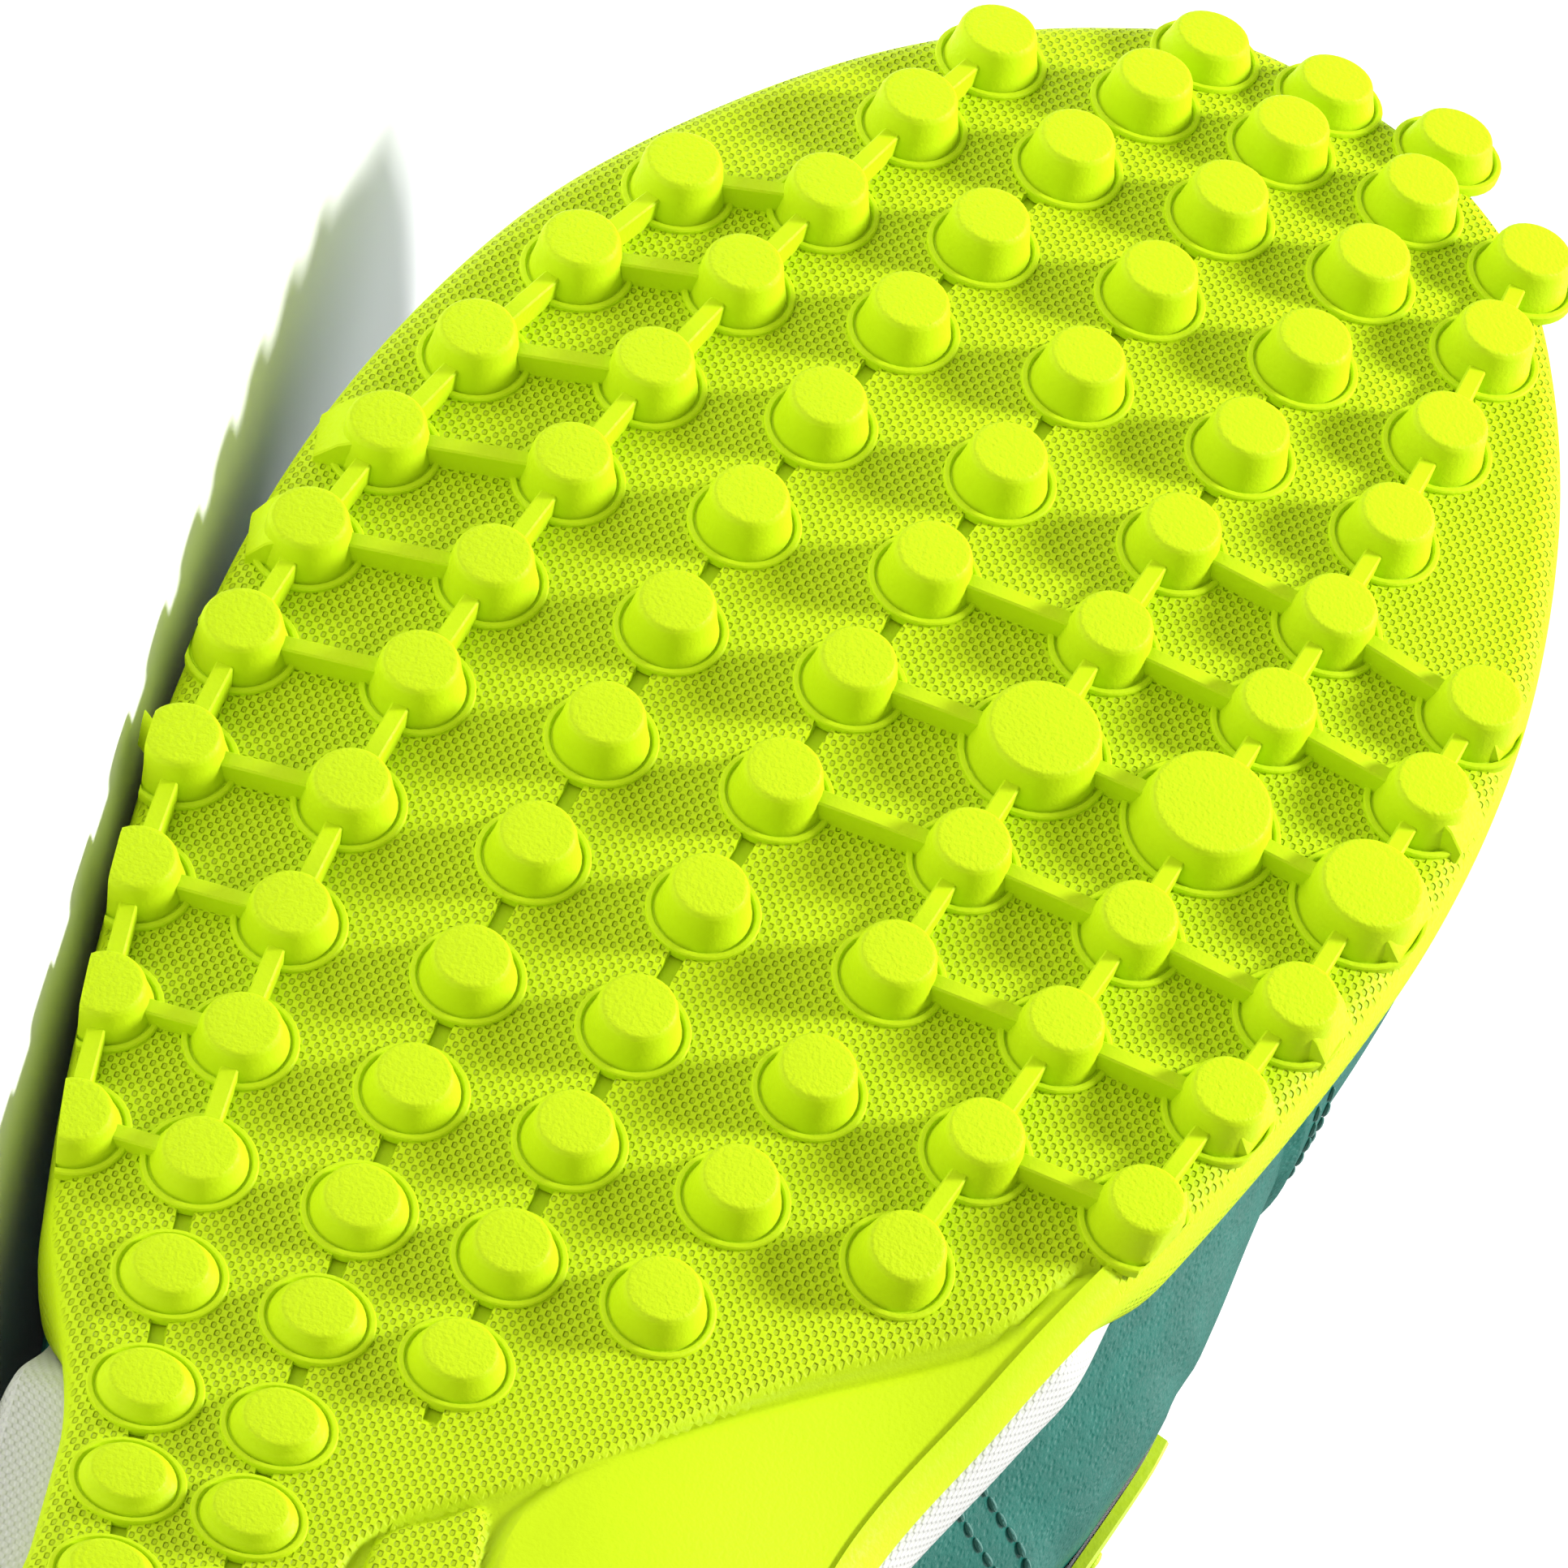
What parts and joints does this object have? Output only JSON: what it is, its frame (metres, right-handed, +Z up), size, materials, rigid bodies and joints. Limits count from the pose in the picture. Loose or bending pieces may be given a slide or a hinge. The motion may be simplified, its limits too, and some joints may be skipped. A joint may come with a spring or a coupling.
{
  "type": "field hockey shoe",
  "caption": "Right field hockey shoe lying on its outer side, with a studded lime sole, white foam midsole and a teal leather upper with tongue and laces.",
  "frame": {"origin": "middle of the lying shoe's box, on the floor that it lies on", "axes": "+Y to the toe, +Z up from the floor, -X the way the sole faces, with the shoe on its outer side"},
  "size_m": [0.1172, 0.2838, 0.1056],
  "materials": {
    "lime_rubber": "satin",
    "white_foam": "matte",
    "grey_lining": "matte",
    "teal_leather": "satin",
    "lime_panel": "satin",
    "teal_mesh": "matte",
    "lime_lace": "matte"
  },
  "bodies": {
    "root": {"outsole": "lime_rubber", "midsole": "white_foam", "insole": "grey_lining", "upper": "teal_leather", "side_panel": "lime_panel", "tongue": "teal_mesh", "laces": "lime_lace"}
  },
  "joints": []
}
